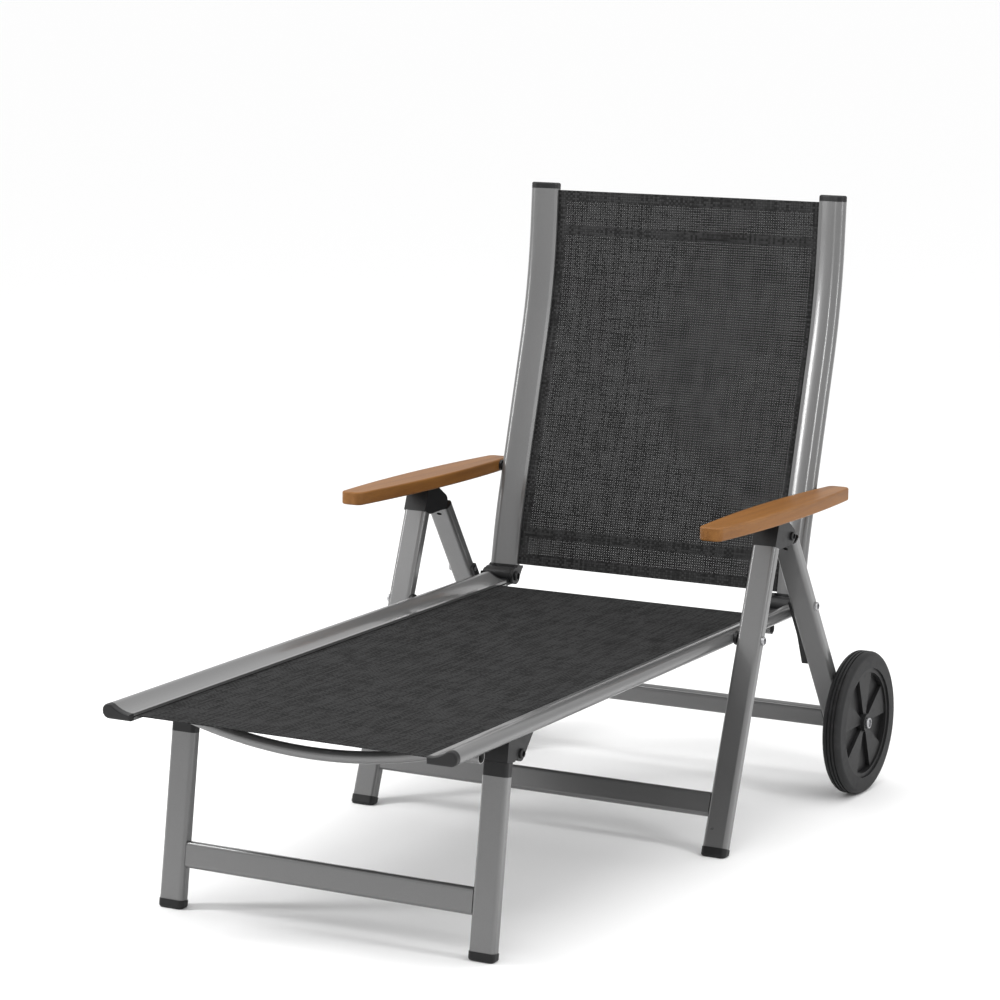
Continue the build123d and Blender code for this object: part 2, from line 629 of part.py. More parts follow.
def arm_brackets():
    """Black bracket on top of a middle leg: tongue for the rack and cheeks for the rear leg's pivot."""
    behind = square_to(MIDDLE_UP)
    front_low = MIDDLE_TOP - behind * LEG_DEPTH / 2
    rear_low = MIDDLE_TOP + behind * LEG_DEPTH / 2
    shoulder = TONGUE - ARM_UP * SHOULDER_GAP
    across = MIDDLE_UP.X * ARM_BACKWARD.Y - MIDDLE_UP.Y * ARM_BACKWARD.X
    gap = shoulder - front_low
    rise = (gap.X * ARM_BACKWARD.Y - gap.Y * ARM_BACKWARD.X) / across
    front_high = front_low + MIDDLE_UP * rise
    lobe_top = REAR_PIVOT + direction(BRACKET_TOP_LEAN) * REAR_LOBE_RADIUS
    lobe_low = REAR_PIVOT + direction(BRACKET_LOW_LEAN) * REAR_LOBE_RADIUS
    rear_high = shoulder - ARM_BACKWARD * SHOULDER_GAP
    body = slab(
        [front_low, front_high, rear_high, lobe_top, REAR_PIVOT, lobe_low, rear_low],
        LEG_LANE,
        LEG_OUTER,
    )
    body += disc(REAR_PIVOT, REAR_LOBE_RADIUS, LEG_LANE, LEG_OUTER)
    room_inner = LEG_MID - REAR_LUG_WIDTH / 2 - CLEARANCE
    room_outer = LEG_MID + REAR_LUG_WIDTH / 2 + CLEARANCE
    room_radius = REAR_LOBE_RADIUS + CLEARANCE
    body -= disc(REAR_PIVOT, room_radius, room_inner, room_outer)
    deep = MIDDLE_UP * (-2 * REAR_TUBE_START)
    wide = behind * (3 * REAR_LOBE_RADIUS)
    front_edge = REAR_PIVOT - behind * room_radius
    body -= slab(
        [front_edge, front_edge + deep, REAR_PIVOT + wide + deep, REAR_PIVOT + wide], room_inner, room_outer
    )
    tongue_inner = LEG_MID - TONGUE_WIDTH / 2
    tongue_outer = LEG_MID + TONGUE_WIDTH / 2
    root = ARM_UP * (SHOULDER_GAP + 2 * TONGUE_RADIUS)
    neck = ARM_BACKWARD * (TONGUE_RADIUS * 0.8)
    tongue = disc(TONGUE, TONGUE_RADIUS, tongue_inner, tongue_outer)
    tongue += slab(
        [TONGUE - neck, TONGUE + neck, TONGUE + neck - root, TONGUE - neck * 3 - root],
        tongue_inner,
        tongue_outer,
    )
    tongue -= disc(REAR_PIVOT, room_radius, tongue_inner, tongue_outer)
    bracket = body + tongue - disc(REAR_PIVOT, REAR_PIN_RADIUS + RUNNING_FIT, LEG_LANE, LEG_OUTER)
    bracket += leg_plug(LEG_MID, MIDDLE_TOP, MIDDLE_UP * -1)
    keep_pair("arm_bracket", single(bracket))
    keep_group("rear_pivot_pins", headed_bolt(REAR_PIVOT, REAR_PIN_RADIUS, LEG_OUTER, LEG_LANE))


def saddle_bolt_point():
    """Where the saddle's bolt crosses the rear leg."""
    return at_height(REAR_LINE, REAR_DOWN, HINGE.Y + SADDLE_BOLT_HEIGHT)


def rear_legs():
    """Rear legs with their bar, top knuckles and end plugs."""
    behind = square_to(REAR_DOWN) * -1
    start = REAR_LINE + REAR_DOWN * REAR_TUBE_START
    end = AXLE + REAR_DOWN * REAR_TUBE_PAST_AXLE
    tube = leg_tube(LEG_MID, start, end)
    tube -= disc(AXLE, AXLE_RADIUS + RUNNING_FIT, LEG_LANE, LEG_OUTER)
    tube -= disc(saddle_bolt_point(), SADDLE_BOLT_RADIUS + RUNNING_FIT, LEG_LANE, LEG_OUTER)
    slot_plane = Plane(
        origin=(LEG_MID, *tuple(start + REAR_DOWN * RIVET_SLOT_DISTANCE - behind * LEG_DEPTH / 2)[:2]),
        x_dir=(1, 0, 0),
        z_dir=(0, -behind.X, -behind.Y),
    )
    tube -= extrude(slot_plane * SlotOverall(RIVET_SLOT_LENGTH, RIVET_SLOT_WIDTH), -2 * LEG_WALL)
    keep_pair("rear_leg", single(tube))
    bar_point = at_height(REAR_LINE, REAR_DOWN, REAR_BAR_HEIGHT)
    keep("rear_leg_bar", leg_bar(bar_point, REAR_DOWN, REAR_BAR_WIDTH, LEG_LANE))
    keep_group("wheel_axle_bolts", headed_bolt(AXLE, AXLE_RADIUS, WHEEL_INNER + WHEEL_WIDTH, LEG_LANE))

    lug_inner = LEG_MID - REAR_LUG_WIDTH / 2
    lug_outer = LEG_MID + REAR_LUG_WIDTH / 2
    lug = disc(REAR_PIVOT, REAR_LOBE_RADIUS, lug_inner, lug_outer)
    lug += slab(
        [
            REAR_PIVOT - behind * REAR_LOBE_RADIUS,
            REAR_PIVOT + behind * REAR_LOBE_RADIUS,
            start + behind * LEG_DEPTH / 2,
            start - behind * LEG_DEPTH / 2,
        ],
        lug_inner,
        lug_outer,
    )
    collar = extrude(leg_plane(LEG_MID, start, REAR_DOWN * -1) * leg_section(), REAR_COLLAR)
    knuckle = lug + collar - disc(REAR_PIVOT, REAR_PIN_RADIUS + RUNNING_FIT, lug_inner, lug_outer)
    knuckle += leg_plug(LEG_MID, start, REAR_DOWN, RIVET_SLOT_DISTANCE - RIVET_SLOT_WIDTH)
    keep_pair("rear_knuckle", single(knuckle))

    plate = extrude(leg_plane(LEG_MID, end, REAR_DOWN) * leg_section(), END_PLUG_PLATE)
    stub = leg_plug(LEG_MID, end, REAR_DOWN * -1, REAR_TUBE_PAST_AXLE - 2 * AXLE_RADIUS)
    keep_group("rear_leg_plugs", single(plate + stub))


def hinge_saddles():
    """Black saddle on a rear leg: an open cup under the hinge journal and a wedge down the leg."""
    inner = RAIL_OUTER + SADDLE_GAP
    behind = square_to(REAR_DOWN) * -1
    half = behind * (SADDLE_STRAP_WIDTH / 2)
    bolt = saddle_bolt_point()
    beside_hinge = REAR_LINE + REAR_DOWN * (HINGE - REAR_LINE).dot(REAR_DOWN)
    cup_radius = JOURNAL_RADIUS + CLEARANCE + SADDLE_WALL
    top = bolt - REAR_DOWN * (2 * SADDLE_BOLT_RADIUS)
    arm_top = beside_hinge - REAR_DOWN * SADDLE_ARM_RISE
    tail_top = beside_hinge + REAR_DOWN * SADDLE_TAIL_TOP
    strap = slab([top - half, top + half, tail_top + half, tail_top - half], inner, LEG_LANE)
    arm = slab(
        [
            arm_top - half,
            arm_top + half,
            HINGE,
            HINGE + REAR_DOWN * cup_radius,
            tail_top + half,
            tail_top - half,
        ],
        inner,
        LEG_LANE,
    )
    cup = disc(HINGE, cup_radius, inner, LEG_LANE)
    mouth_out = direction(SADDLE_MOUTH_LEAN)
    mouth_along = square_to(mouth_out)
    mouth_front = HINGE - mouth_along * (cup_radius + SADDLE_WALL / 2)
    mouth_rear = HINGE + mouth_along * (2 * cup_radius)
    mouth_height = mouth_out * (3 * cup_radius)
    mouth = slab(
        [mouth_front, mouth_front + mouth_height, mouth_rear + mouth_height, mouth_rear],
        inner,
        LEG_LANE,
    )
    saddle = arm + cup - mouth - disc(HINGE, JOURNAL_RADIUS + CLEARANCE, inner, LEG_LANE) + strap
    saddle -= disc(bolt, SADDLE_BOLT_RADIUS + RUNNING_FIT, inner, LEG_LANE)
    edge = tail_top - half
    tail_plane = Plane(
        origin=(0, edge.X, edge.Y), x_dir=(1, 0, 0), z_dir=(0, behind.X, behind.Y)
    )
    tail_length = SADDLE_TAIL_DROP - SADDLE_TAIL_TOP
    tail = make_face(
        Polyline(
            (LEG_LANE, 0),
            (inner, 0),
            (LEG_LANE - SADDLE_TAIL_PROUD, tail_length),
            (LEG_LANE, tail_length),
            close=True,
        )
    )
    saddle += extrude(tail_plane * tail, 2 * half.length)
    keep_pair("hinge_saddle", single(saddle))
    keep_group("saddle_bolts", headed_bolt(bolt, SADDLE_BOLT_RADIUS, LEG_OUTER, inner))


def spoke_pocket(index, start, depth):
    """One wedge-shaped pocket between two spokes, from a plane across the axle."""
    half = 90 / SPOKE_COUNT
    turn = 360 / SPOKE_COUNT * index - 90
    low = HUB_RADIUS + POCKET_LIP
    high = RIM_RADIUS - RIM_EDGE - POCKET_LIP
    corners = [
        Vector(radius, 0).rotate(Axis.Z, turn + side)
        for radius in (low, high)
        for side in (-half, half)
    ]
    deep = Vector(low, 0).rotate(Axis.Z, turn)
    crown = Vector(high, 0).rotate(Axis.Z, turn)
    outline = [
        ThreePointArc(corners[0], deep, corners[1]),
        Line(corners[1], corners[3]),
        ThreePointArc(corners[3], crown, corners[2]),
        Line(corners[2], corners[0]),
    ]
    face = make_face(Curve() + outline)
    return extrude(Plane.YZ.offset(start) * Pos(AXLE.X, AXLE.Y) * face, depth)


def wheels():
    """Rims with wedge spokes, and grooved solid tyres."""
    middle = WHEEL_INNER + WHEEL_WIDTH / 2
    hub_half = WHEEL_WIDTH / 2 - CLEARANCE
    rim_half = RIM_WIDTH / 2
    spoke_half = rim_half - SPOKE_SET_BACK
    edge_radius = RIM_RADIUS - RIM_EDGE
    bore = AXLE_RADIUS + RUNNING_FIT
    outer = RIM_RADIUS - RUNNING_FIT
    upright = Plane(origin=(middle, AXLE.X, AXLE.Y), x_dir=(1, 0, 0), z_dir=(0, -1, 0))
    axis = Axis((0, AXLE.X, AXLE.Y), (1, 0, 0))
    half_section = [
        (hub_half, bore),
        (hub_half, HUB_RADIUS),
        (spoke_half, HUB_RADIUS),
        (spoke_half, edge_radius),
        (rim_half, edge_radius),
        (rim_half, outer),
    ]
    section = half_section + [(-across, radius) for across, radius in reversed(half_section)]
    rim = revolve(upright * make_face(Polyline(*section, close=True)), axis)
    pocket_depth = spoke_half - WEB_THICKNESS / 2
    pockets = [
        spoke_pocket(index, middle + side * WEB_THICKNESS / 2, side * 2 * pocket_depth)
        for index in range(SPOKE_COUNT)
        for side in (-1, 1)
    ]
    keep_pair("wheel_rim", single(rim - pockets))

    tread = Pos(0, (RIM_RADIUS + WHEEL_RADIUS) / 2) * Rectangle(WHEEL_WIDTH, WHEEL_RADIUS - RIM_RADIUS)
    tread = fillet(tread.vertices().group_by(Axis.Y)[-1], TYRE_SHOULDER)
    pitch = (WHEEL_WIDTH - TYRE_SHOULDER) / (TREAD_GROOVES + 1)
    for index in range(TREAD_GROOVES):
        across = (index - (TREAD_GROOVES - 1) / 2) * pitch
        tread -= Pos(across, WHEEL_RADIUS) * Rectangle(TREAD_GROOVE_WIDTH, 2 * TREAD_GROOVE_DEPTH)
    keep_pair("tyre", single(revolve(upright * tread, axis)))


def arm_point(back, up):
    """Point of an armrest's side view, from its pivot, along the armrest and square to it."""
    return ARM_PIVOT + ARM_BACKWARD * back + ARM_UP * up


def arm_half_width(back):
    """Half the width of an armrest at a distance behind its pivot."""
    sag = ARM_HALF_WIDTH - ARM_END_HALF_WIDTH
    half_length = (ARM_FRONT + ARM_REAR) / 2
    radius = (half_length**2 + sag**2) / (2 * sag)
    from_middle = back - (ARM_REAR - ARM_FRONT) / 2
    return ARM_HALF_WIDTH - radius + math.sqrt(radius**2 - from_middle**2)


def arm_plan():
    """Plan of an armrest: two long bowed sides and rounded ends, about the line of its pivot."""
    middle = (ARM_REAR - ARM_FRONT) / 2
    end = ARM_END_HALF_WIDTH
    inside = ThreePointArc((-end, -ARM_FRONT), (-ARM_HALF_WIDTH, middle), (-end, ARM_REAR))
    rear = Line((-end, ARM_REAR), (end, ARM_REAR))
    outside = ThreePointArc((end, ARM_REAR), (ARM_HALF_WIDTH, middle), (end, -ARM_FRONT))
    front = Line((end, -ARM_FRONT), (-end, -ARM_FRONT))
    plan = make_face(Curve() + [inside, rear, outside, front])
    return fillet(plan.vertices(), ARM_CORNER)


def rack_outline():
    """Side view of the notched rack: a flat back with teeth that point down between the notches."""
    roof = GROOVE_DEPTH - ARM_THICKNESS / 2
    rear = GROOVE_BEHIND - TONGUE_BEFORE_PIVOT - PLUG_CLEARANCE
    front = rear - groove_length() + 2 * PLUG_CLEARANCE
    root = roof - RACK_BACK
    outline = [arm_point(rear, root), arm_point(rear, roof), arm_point(front, roof), arm_point(front, root)]
    for index in reversed(range(NOTCH_COUNT)):
        middle = -TONGUE_BEFORE_PIVOT - (index + 0.5) * NOTCH_PITCH
        tip = roof - (TOOTH_FIRST if index == 0 else TOOTH_FULL)
        outline.append(arm_point(middle - TOOTH_ROOT / 2, root))
        outline.append(arm_point(middle - TOOTH_TIP / 2, tip))
        outline.append(arm_point(middle + TOOTH_TIP / 2, tip))
        outline.append(arm_point(middle + TOOTH_ROOT / 2, root))
    return outline


def groove_length():
    """Length of the groove in an armrest's underside that holds the rack."""
    return NOTCH_COUNT * NOTCH_PITCH + 2 * GROOVE_BEHIND


def armrests():
    """Wooden armrests with their racks, and the pivots on the back rails."""
    plane = Plane(
        origin=(ARM_X, ARM_PIVOT.X, ARM_PIVOT.Y), x_dir=(1, 0, 0), z_dir=(0, ARM_UP.X, ARM_UP.Y)
    )
    upwards = Axis(plane.origin, plane.z_dir)
    wood = extrude(plane.offset(-ARM_THICKNESS / 2) * arm_plan(), ARM_THICKNESS)
    wood = fillet(wood.faces().sort_by(upwards)[-1].edges(), ARM_TOP_ROUNDING)
    wood = fillet(wood.faces().sort_by(upwards)[0].edges(), ARM_BOTTOM_ROUNDING)
    groove_middle = Pos(
        LEG_MID - ARM_X,
        GROOVE_BEHIND - TONGUE_BEFORE_PIVOT - groove_length() / 2,
        (GROOVE_DEPTH - ARM_THICKNESS) / 2,
    )
    wood -= plane * groove_middle * Box(GROOVE_WIDTH, groove_length(), GROOVE_DEPTH)
    edge = ARM_X - arm_half_width(0)
    bolt_tip = edge + ARM_BOLT_DEPTH
    wood -= disc(ARM_PIVOT, ARM_BOLT_RADIUS + RUNNING_FIT, edge - ARM_HALF_WIDTH, bolt_tip + CLEARANCE)
    keep_pair("armrest", single(wood))
    half_rack = GROOVE_WIDTH / 2 - PLUG_CLEARANCE
    keep_pair("arm_rack", single(slab(rack_outline(), LEG_MID - half_rack, LEG_MID + half_rack)))
    keep_group("arm_pivot_bolts", single(disc(ARM_PIVOT, ARM_BOLT_RADIUS, BEAD_X, bolt_tip)))
    widest = ARM_X - arm_half_width(-ARM_SPACER_RADIUS)
    spacer = disc(ARM_PIVOT, ARM_SPACER_RADIUS, RAIL_OUTER, widest - CLEARANCE)
    spacer -= disc(ARM_PIVOT, ARM_BOLT_RADIUS, RAIL_OUTER, edge)
    keep_group("arm_pivot_spacers", single(spacer))


seat_frame()
hinge_barrels()
hinge_caps()
back_frame()
front_legs()
middle_legs()
arm_brackets()
rear_legs()
hinge_saddles()
wheels()
armrests()

os.makedirs("parts", exist_ok=True)
for piece_name, piece in PIECES.items():
    export_step(Pos(0, -MIDDLE_OF_LENGTH, 0) * piece, f"parts/{piece_name}.step")
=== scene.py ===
import json
import math
from typing import NamedTuple

import bpy
import numpy as np
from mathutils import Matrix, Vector


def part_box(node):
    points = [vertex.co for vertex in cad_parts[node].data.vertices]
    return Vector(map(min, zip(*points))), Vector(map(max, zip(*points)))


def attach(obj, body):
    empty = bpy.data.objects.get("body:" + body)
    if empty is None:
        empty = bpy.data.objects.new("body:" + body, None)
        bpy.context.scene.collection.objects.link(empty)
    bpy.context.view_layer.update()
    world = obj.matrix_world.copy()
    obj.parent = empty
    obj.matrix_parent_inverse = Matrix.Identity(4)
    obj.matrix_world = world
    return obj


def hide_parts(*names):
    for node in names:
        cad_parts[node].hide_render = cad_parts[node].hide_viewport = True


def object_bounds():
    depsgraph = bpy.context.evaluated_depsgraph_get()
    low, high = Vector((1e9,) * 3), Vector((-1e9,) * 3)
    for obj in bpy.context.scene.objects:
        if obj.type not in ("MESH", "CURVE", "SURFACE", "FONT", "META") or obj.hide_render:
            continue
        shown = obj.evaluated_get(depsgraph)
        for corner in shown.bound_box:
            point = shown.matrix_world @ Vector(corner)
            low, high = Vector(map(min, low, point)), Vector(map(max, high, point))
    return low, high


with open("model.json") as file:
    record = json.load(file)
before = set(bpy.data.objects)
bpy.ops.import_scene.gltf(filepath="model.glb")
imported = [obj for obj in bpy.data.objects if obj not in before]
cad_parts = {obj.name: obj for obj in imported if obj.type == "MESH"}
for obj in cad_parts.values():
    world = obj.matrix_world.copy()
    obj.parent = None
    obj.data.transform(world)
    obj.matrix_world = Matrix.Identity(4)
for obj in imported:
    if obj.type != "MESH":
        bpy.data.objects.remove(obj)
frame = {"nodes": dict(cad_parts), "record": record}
CAD_LOW, CAD_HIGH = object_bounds()

bl_info = {
    "name": "Reclining sun lounger",
    "version": (1, 0, 0),
    "blender": (4, 5, 0),
    "location": "View3D > Sidebar > Lounger",
    "description": "Dresses a folding sun lounger: tubes, mesh slings, armrests and wheels",
    "category": "Object",
}

MM = 0.001


# Sizes and colours that a user would change


class SlingSettings(bpy.types.PropertyGroup):
    """Cloth of the seat and the backrest."""

    thickness: bpy.props.FloatProperty(
        name="Thickness",
        description="Thickness of the woven cloth",
        default=0.6 * MM,
        unit="LENGTH",
    )
    warp_pitch: bpy.props.FloatProperty(
        name="Warp pitch",
        description="Distance between two lengthwise strands",
        default=4.3 * MM,
        unit="LENGTH",
    )
    weft_pitch: bpy.props.FloatProperty(
        name="Weft pitch",
        description="Distance between two crosswise strands",
        default=4.05 * MM,
        unit="LENGTH",
    )
    cover: bpy.props.FloatProperty(
        name="Strand cover",
        description="Share of the pitch that a strand fills",
        default=0.832,
        subtype="FACTOR",
    )
    yarns: bpy.props.IntProperty(
        name="Yarns",
        description="Coated yarns side by side in a strand",
        default=4,
        subtype="UNSIGNED",
    )
    slubs: bpy.props.FloatProperty(
        name="Slubs",
        description="Pale places in a metre of strand",
        default=16,
        subtype="UNSIGNED",
    )
    seat_sag: bpy.props.FloatProperty(
        name="Seat sag",
        description="Drop of the seat cloth between the rails",
        default=5 * MM,
        unit="LENGTH",
    )
    back_sag: bpy.props.FloatProperty(
        name="Back sag",
        description="Set-back of the back cloth between the rails",
        default=2 * MM,
        unit="LENGTH",
    )
    side_hem: bpy.props.FloatProperty(
        name="Side hem",
        description="Width of the doubled cloth along the rails",
        default=15 * MM,
        unit="LENGTH",
    )
    end_hem: bpy.props.FloatProperty(
        name="End hem",
        description="Width of the doubled cloth at the free ends",
        default=17 * MM,
        unit="LENGTH",
    )
    dark_thread: bpy.props.FloatVectorProperty(
        name="Dark thread",
        description="Colour of the darkest threads",
        default=(0.017, 0.017, 0.0171),
        subtype="COLOR",
    )
    pale_thread: bpy.props.FloatVectorProperty(
        name="Pale thread",
        description="Colour of the palest threads",
        default=(0.041, 0.041, 0.0414),
        subtype="COLOR",
    )


class TubeSettings(bpy.types.PropertyGroup):
    """Silver-grey coat of the rails, legs and bars."""

    coat: bpy.props.FloatVectorProperty(
        name="Coat",
        description="Colour of the powder coat",
        default=(0.145, 0.145, 0.145),
        subtype="COLOR",
    )
    metal: bpy.props.FloatProperty(
        name="Metal",
        description="Share of metal flake in the coat",
        default=0.5,
        subtype="FACTOR",
    )
    roughness: bpy.props.FloatProperty(
        name="Roughness",
        description="Roughness of the satin coat",
        default=0.3,
        subtype="FACTOR",
    )


class FittingSettings(bpy.types.PropertyGroup):
    """Black caps, brackets and feet, and the bolts."""

    plastic: bpy.props.FloatVectorProperty(
        name="Plastic",
        description="Colour of the moulded fittings",
        default=(0.008, 0.008, 0.0085),
        subtype="COLOR",
    )
    bolt: bpy.props.FloatVectorProperty(
        name="Bolt",
        description="Colour of the zinc-plated bolts",
        default=(0.42, 0.42, 0.43),
        subtype="COLOR",
    )


class WheelSettings(bpy.types.PropertyGroup):
    """Wheels with solid tyres."""

    tyre: bpy.props.FloatVectorProperty(
        name="Tyre",
        description="Colour of the rubber",
        default=(0.012, 0.012, 0.0125),
        subtype="COLOR",
    )
    rim: bpy.props.FloatVectorProperty(
        name="Rim",
        description="Colour of the moulded rim",
        default=(0.009, 0.009, 0.0094),
        subtype="COLOR",
    )


class ArmrestSettings(bpy.types.PropertyGroup):
    """Oiled hardwood of the armrests."""

    pale_wood: bpy.props.FloatVectorProperty(
        name="Pale wood",
        description="Colour of the early wood",
        default=(0.235, 0.103, 0.026),
        subtype="COLOR",
    )
    dark_wood: bpy.props.FloatVectorProperty(
        name="Dark wood",
        description="Colour of the late wood",
        default=(0.16, 0.065, 0.016),
        subtype="COLOR",
    )
    roughness: bpy.props.FloatProperty(
        name="Roughness",
        description="Roughness of the oiled surface",
        default=0.46,
        subtype="FACTOR",
    )


class StageSettings(bpy.types.PropertyGroup):
    """Floor, light and camera."""

    azimuth: bpy.props.FloatProperty(
        name="Azimuth",
        description="Camera's turn from straight ahead",
        default=math.radians(29.2256),
        subtype="ANGLE",
    )
    elevation: bpy.props.FloatProperty(
        name="Elevation",
        description="Camera's height above the horizon",
        default=math.radians(10.0908),
        subtype="ANGLE",
    )
    lens: bpy.props.FloatProperty(
        name="Lens",
        description="Focal length on a full-frame sensor",
        default=120.9,
        unit="CAMERA",
    )
    camera_from_foot: bpy.props.FloatVectorProperty(
        name="Camera place",
        description="Camera's place from the floor under the middle of the foot end",
        default=(2.4531, -3.7505, 1.4382),
        unit="LENGTH",
    )
    walls: bpy.props.FloatProperty(
        name="Walls",
        description="Brightness of the upper walls",
        default=0.7,
        subtype="FACTOR",
    )
    zenith: bpy.props.FloatProperty(
        name="Zenith",
        description="What the ceiling adds to it",
        default=0.55,
        subtype="FACTOR",
    )
    floor: bpy.props.FloatVectorProperty(
        name="Floor",
        description="Colour of the floor",
        default=(0.92, 0.92, 0.92),
        subtype="COLOR",
    )


# Shader nodes written as sums

# A colour Mix node repeats its socket names for each data type, so these go by number
MIX_SHARE, MIX_FIRST, MIX_SECOND, MIX_RESULT = 0, 6, 7, 2


class Wire:
    """An output of a shader node that can stand in sums: each operator adds a Math node."""

    def __init__(self, nodes, socket):
        self.nodes = nodes
        self.socket = socket

    def output(self, name):
        """Another output of the same node."""
        return Wire(self.nodes, self.socket.node.outputs[name])

    def math(self, operation, *values):
        """A Math node on these values."""
        return self.nodes.node("ShaderNodeMath", {"operation": operation}, dict(enumerate(values)))

    def __add__(self, other):
        return self.math("ADD", self, other)

    def __radd__(self, other):
        return self.math("ADD", other, self)

    def __sub__(self, other):
        return self.math("SUBTRACT", self, other)

    def __rsub__(self, other):
        return self.math("SUBTRACT", other, self)

    def __mul__(self, other):
        return self.math("MULTIPLY", self, other)

    def __rmul__(self, other):
        return self.math("MULTIPLY", other, self)

    def __truediv__(self, other):
        return self.math("DIVIDE", self, other)

    def __rtruediv__(self, other):
        return self.math("DIVIDE", other, self)

    def __gt__(self, other):
        return self.math("GREATER_THAN", self, other)

    def __lt__(self, other):
        return self.math("LESS_THAN", self, other)

    def __abs__(self):
        return self.math("ABSOLUTE", self)

    def __floor__(self):
        return self.math("FLOOR", self)

    def __mod__(self, other):
        return self.math("FLOORED_MODULO", self, other)


class Nodes:
    """The shader nodes of a material or a world, with one way to add a node."""

    def __init__(self, owner):
        owner.use_nodes = True
        self.tree = owner.node_tree

    def node(self, kind, settings=None, sockets=None, output=0):
        """A node of this kind: its settings first, then the values or links of its sockets."""
        node = self.tree.nodes.new(kind)
        for name, value in (settings or {}).items():
            setattr(node, name, value)
        for name, value in (sockets or {}).items():
            self.join(value, node.inputs[name])
        return Wire(self, node.outputs[output])

    def join(self, value, socket):
        """Links a wire to a socket, or sets the socket's own value."""
        if isinstance(value, Wire):
            self.tree.links.new(value.socket, socket)
        else:
            socket.default_value = value

    def ramp(self, value, low, high):
        """A smooth rise from 0 to 1 between two values."""
        sockets = {"Value": value, "From Min": low, "From Max": high}
        return self.node("ShaderNodeMapRange", {"interpolation_type": "SMOOTHSTEP"}, sockets)


class Finish(Nodes):
    """A material named for a surface of the lounger."""

    def __init__(self, name, constants):
        self.material = bpy.data.materials.new(name)
        super().__init__(self.material)
        self.shader = self.tree.nodes["Principled BSDF"]
        for socket, value in constants.items():
            self.feed(socket, value)

    def feed(self, socket, value):
        """Gives the shader's socket a wire or a value."""
        self.join(value, self.shader.inputs[socket])

    def place(self):
        """Place on the piece at rest, in metres."""
        return self.node("ShaderNodeTexCoord", output="Object")

    def noise(self, place, marks, detail=2.0, roughness=0.5):
        """Noise from about 0 to 1, with this many marks per metre along x, y and z."""
        scaled = self.node(
            "ShaderNodeVectorMath", {"operation": "MULTIPLY"}, {0: place, 1: marks}
        )
        sockets = {"Vector": scaled, "Scale": 1.0, "Detail": detail, "Roughness": roughness}
        return self.node("ShaderNodeTexNoise", {}, sockets)

    def mix(self, share, first, second):
        """A colour between two colours."""
        first, second = (
            colour if isinstance(colour, Wire) else opaque(colour) for colour in (first, second)
        )
        sockets = {MIX_SHARE: share, MIX_FIRST: first, MIX_SECOND: second}
        return self.node("ShaderNodeMix", {"data_type": "RGBA"}, sockets, MIX_RESULT)

    def bump(self, height, depth):
        """Feeds the shader's normal with a relief of this depth in metres."""
        sockets = {"Height": height, "Distance": depth, "Strength": 1.0}
        self.feed("Normal", self.node("ShaderNodeBump", {}, sockets))


def opaque(colour):
    """A colour with full alpha, as colour sockets take it."""
    return (*colour, 1.0)


def shade(colour, share):
    """A colour made darker or paler by a share."""
    return tuple(channel * share for channel in colour)


# Powder coat

COAT_LACQUER = {"Coat Weight": 0.5, "Coat Roughness": 0.1}
COAT_FLECKS = (1400, 1400, 1400)
COAT_FLECK_RANGE = (0.3, 0.7)
COAT_FLECK_SHADES = (0.93, 1.07)
COAT_CLOUDS = (14, 14, 14)
COAT_CLOUD_ROUGHNESS = 0.1
COAT_SCUFFS = (35, 35, 210)
COAT_SCUFF_RANGE = (0.68, 0.8)
COAT_SCUFF_SHARE = 0.25
COAT_SCUFF_SHADE = 0.7
COAT_SCUFF_ROUGHNESS = 0.12
COAT_PEEL = (420, 420, 420)
COAT_RELIEF = 0.06 * MM


def coated_finish(settings):
    """Satin silver-grey powder coat with a faint orange peel."""
    finish = Finish("silver_powder_coat", {"Metallic": settings.metal, **COAT_LACQUER})
    place = finish.place()
    fleck = finish.ramp(finish.noise(place, COAT_FLECKS), *COAT_FLECK_RANGE)
    cloud = finish.noise(place, COAT_CLOUDS, detail=4.0)
    rubbing = finish.noise(place, COAT_SCUFFS, detail=6.0, roughness=0.7)
    scuff = finish.ramp(rubbing, *COAT_SCUFF_RANGE)
    paint = finish.mix(fleck, *(shade(settings.coat, share) for share in COAT_FLECK_SHADES))
    bare = shade(settings.coat, COAT_SCUFF_SHADE)
    finish.feed("Base Color", finish.mix(scuff * COAT_SCUFF_SHARE, paint, bare))
    dulled = settings.roughness + (cloud - 0.5) * COAT_CLOUD_ROUGHNESS
    finish.feed("Roughness", dulled + scuff * COAT_SCUFF_ROUGHNESS)
    finish.bump(finish.noise(place, COAT_PEEL, detail=1.0), COAT_RELIEF)
    return finish.material


# Plastic, rubber and steel

PLASTIC_SHINE = {"Specular IOR Level": 0.3}
FITTING_GRAIN = (900, 900, 900)
FITTING_ROUGHNESS = 0.42
RIM_GRAIN = (700, 700, 700)
RIM_ROUGHNESS = 0.5
RUB_MARKS = (60, 60, 60)
RUB_RANGE = (0.5, 0.75)
RUB_SHADE = 1.5
RUB_ROUGHNESS = 0.1
PLASTIC_RELIEF = 0.12 * MM

RUBBER_SHINE = {"Specular IOR Level": 0.25}
RUBBER_ROUGHNESS = 0.56
RUBBER_GRAIN = (700, 700, 700)
DUST_MARKS = (70, 70, 70)
DUST_RANGE = (0.45, 0.8)
DUST_SHADE = 1.9
DUST_ROUGHNESS = 0.16
RUBBER_RELIEF = 0.1 * MM

STEEL_SHINE = {"Metallic": 0.9}
STEEL_FLECKS = (500, 500, 500)
STEEL_DARK_SHADE = 0.8
STEEL_ROUGHNESS = 0.28
STEEL_FLECK_ROUGHNESS = 0.16


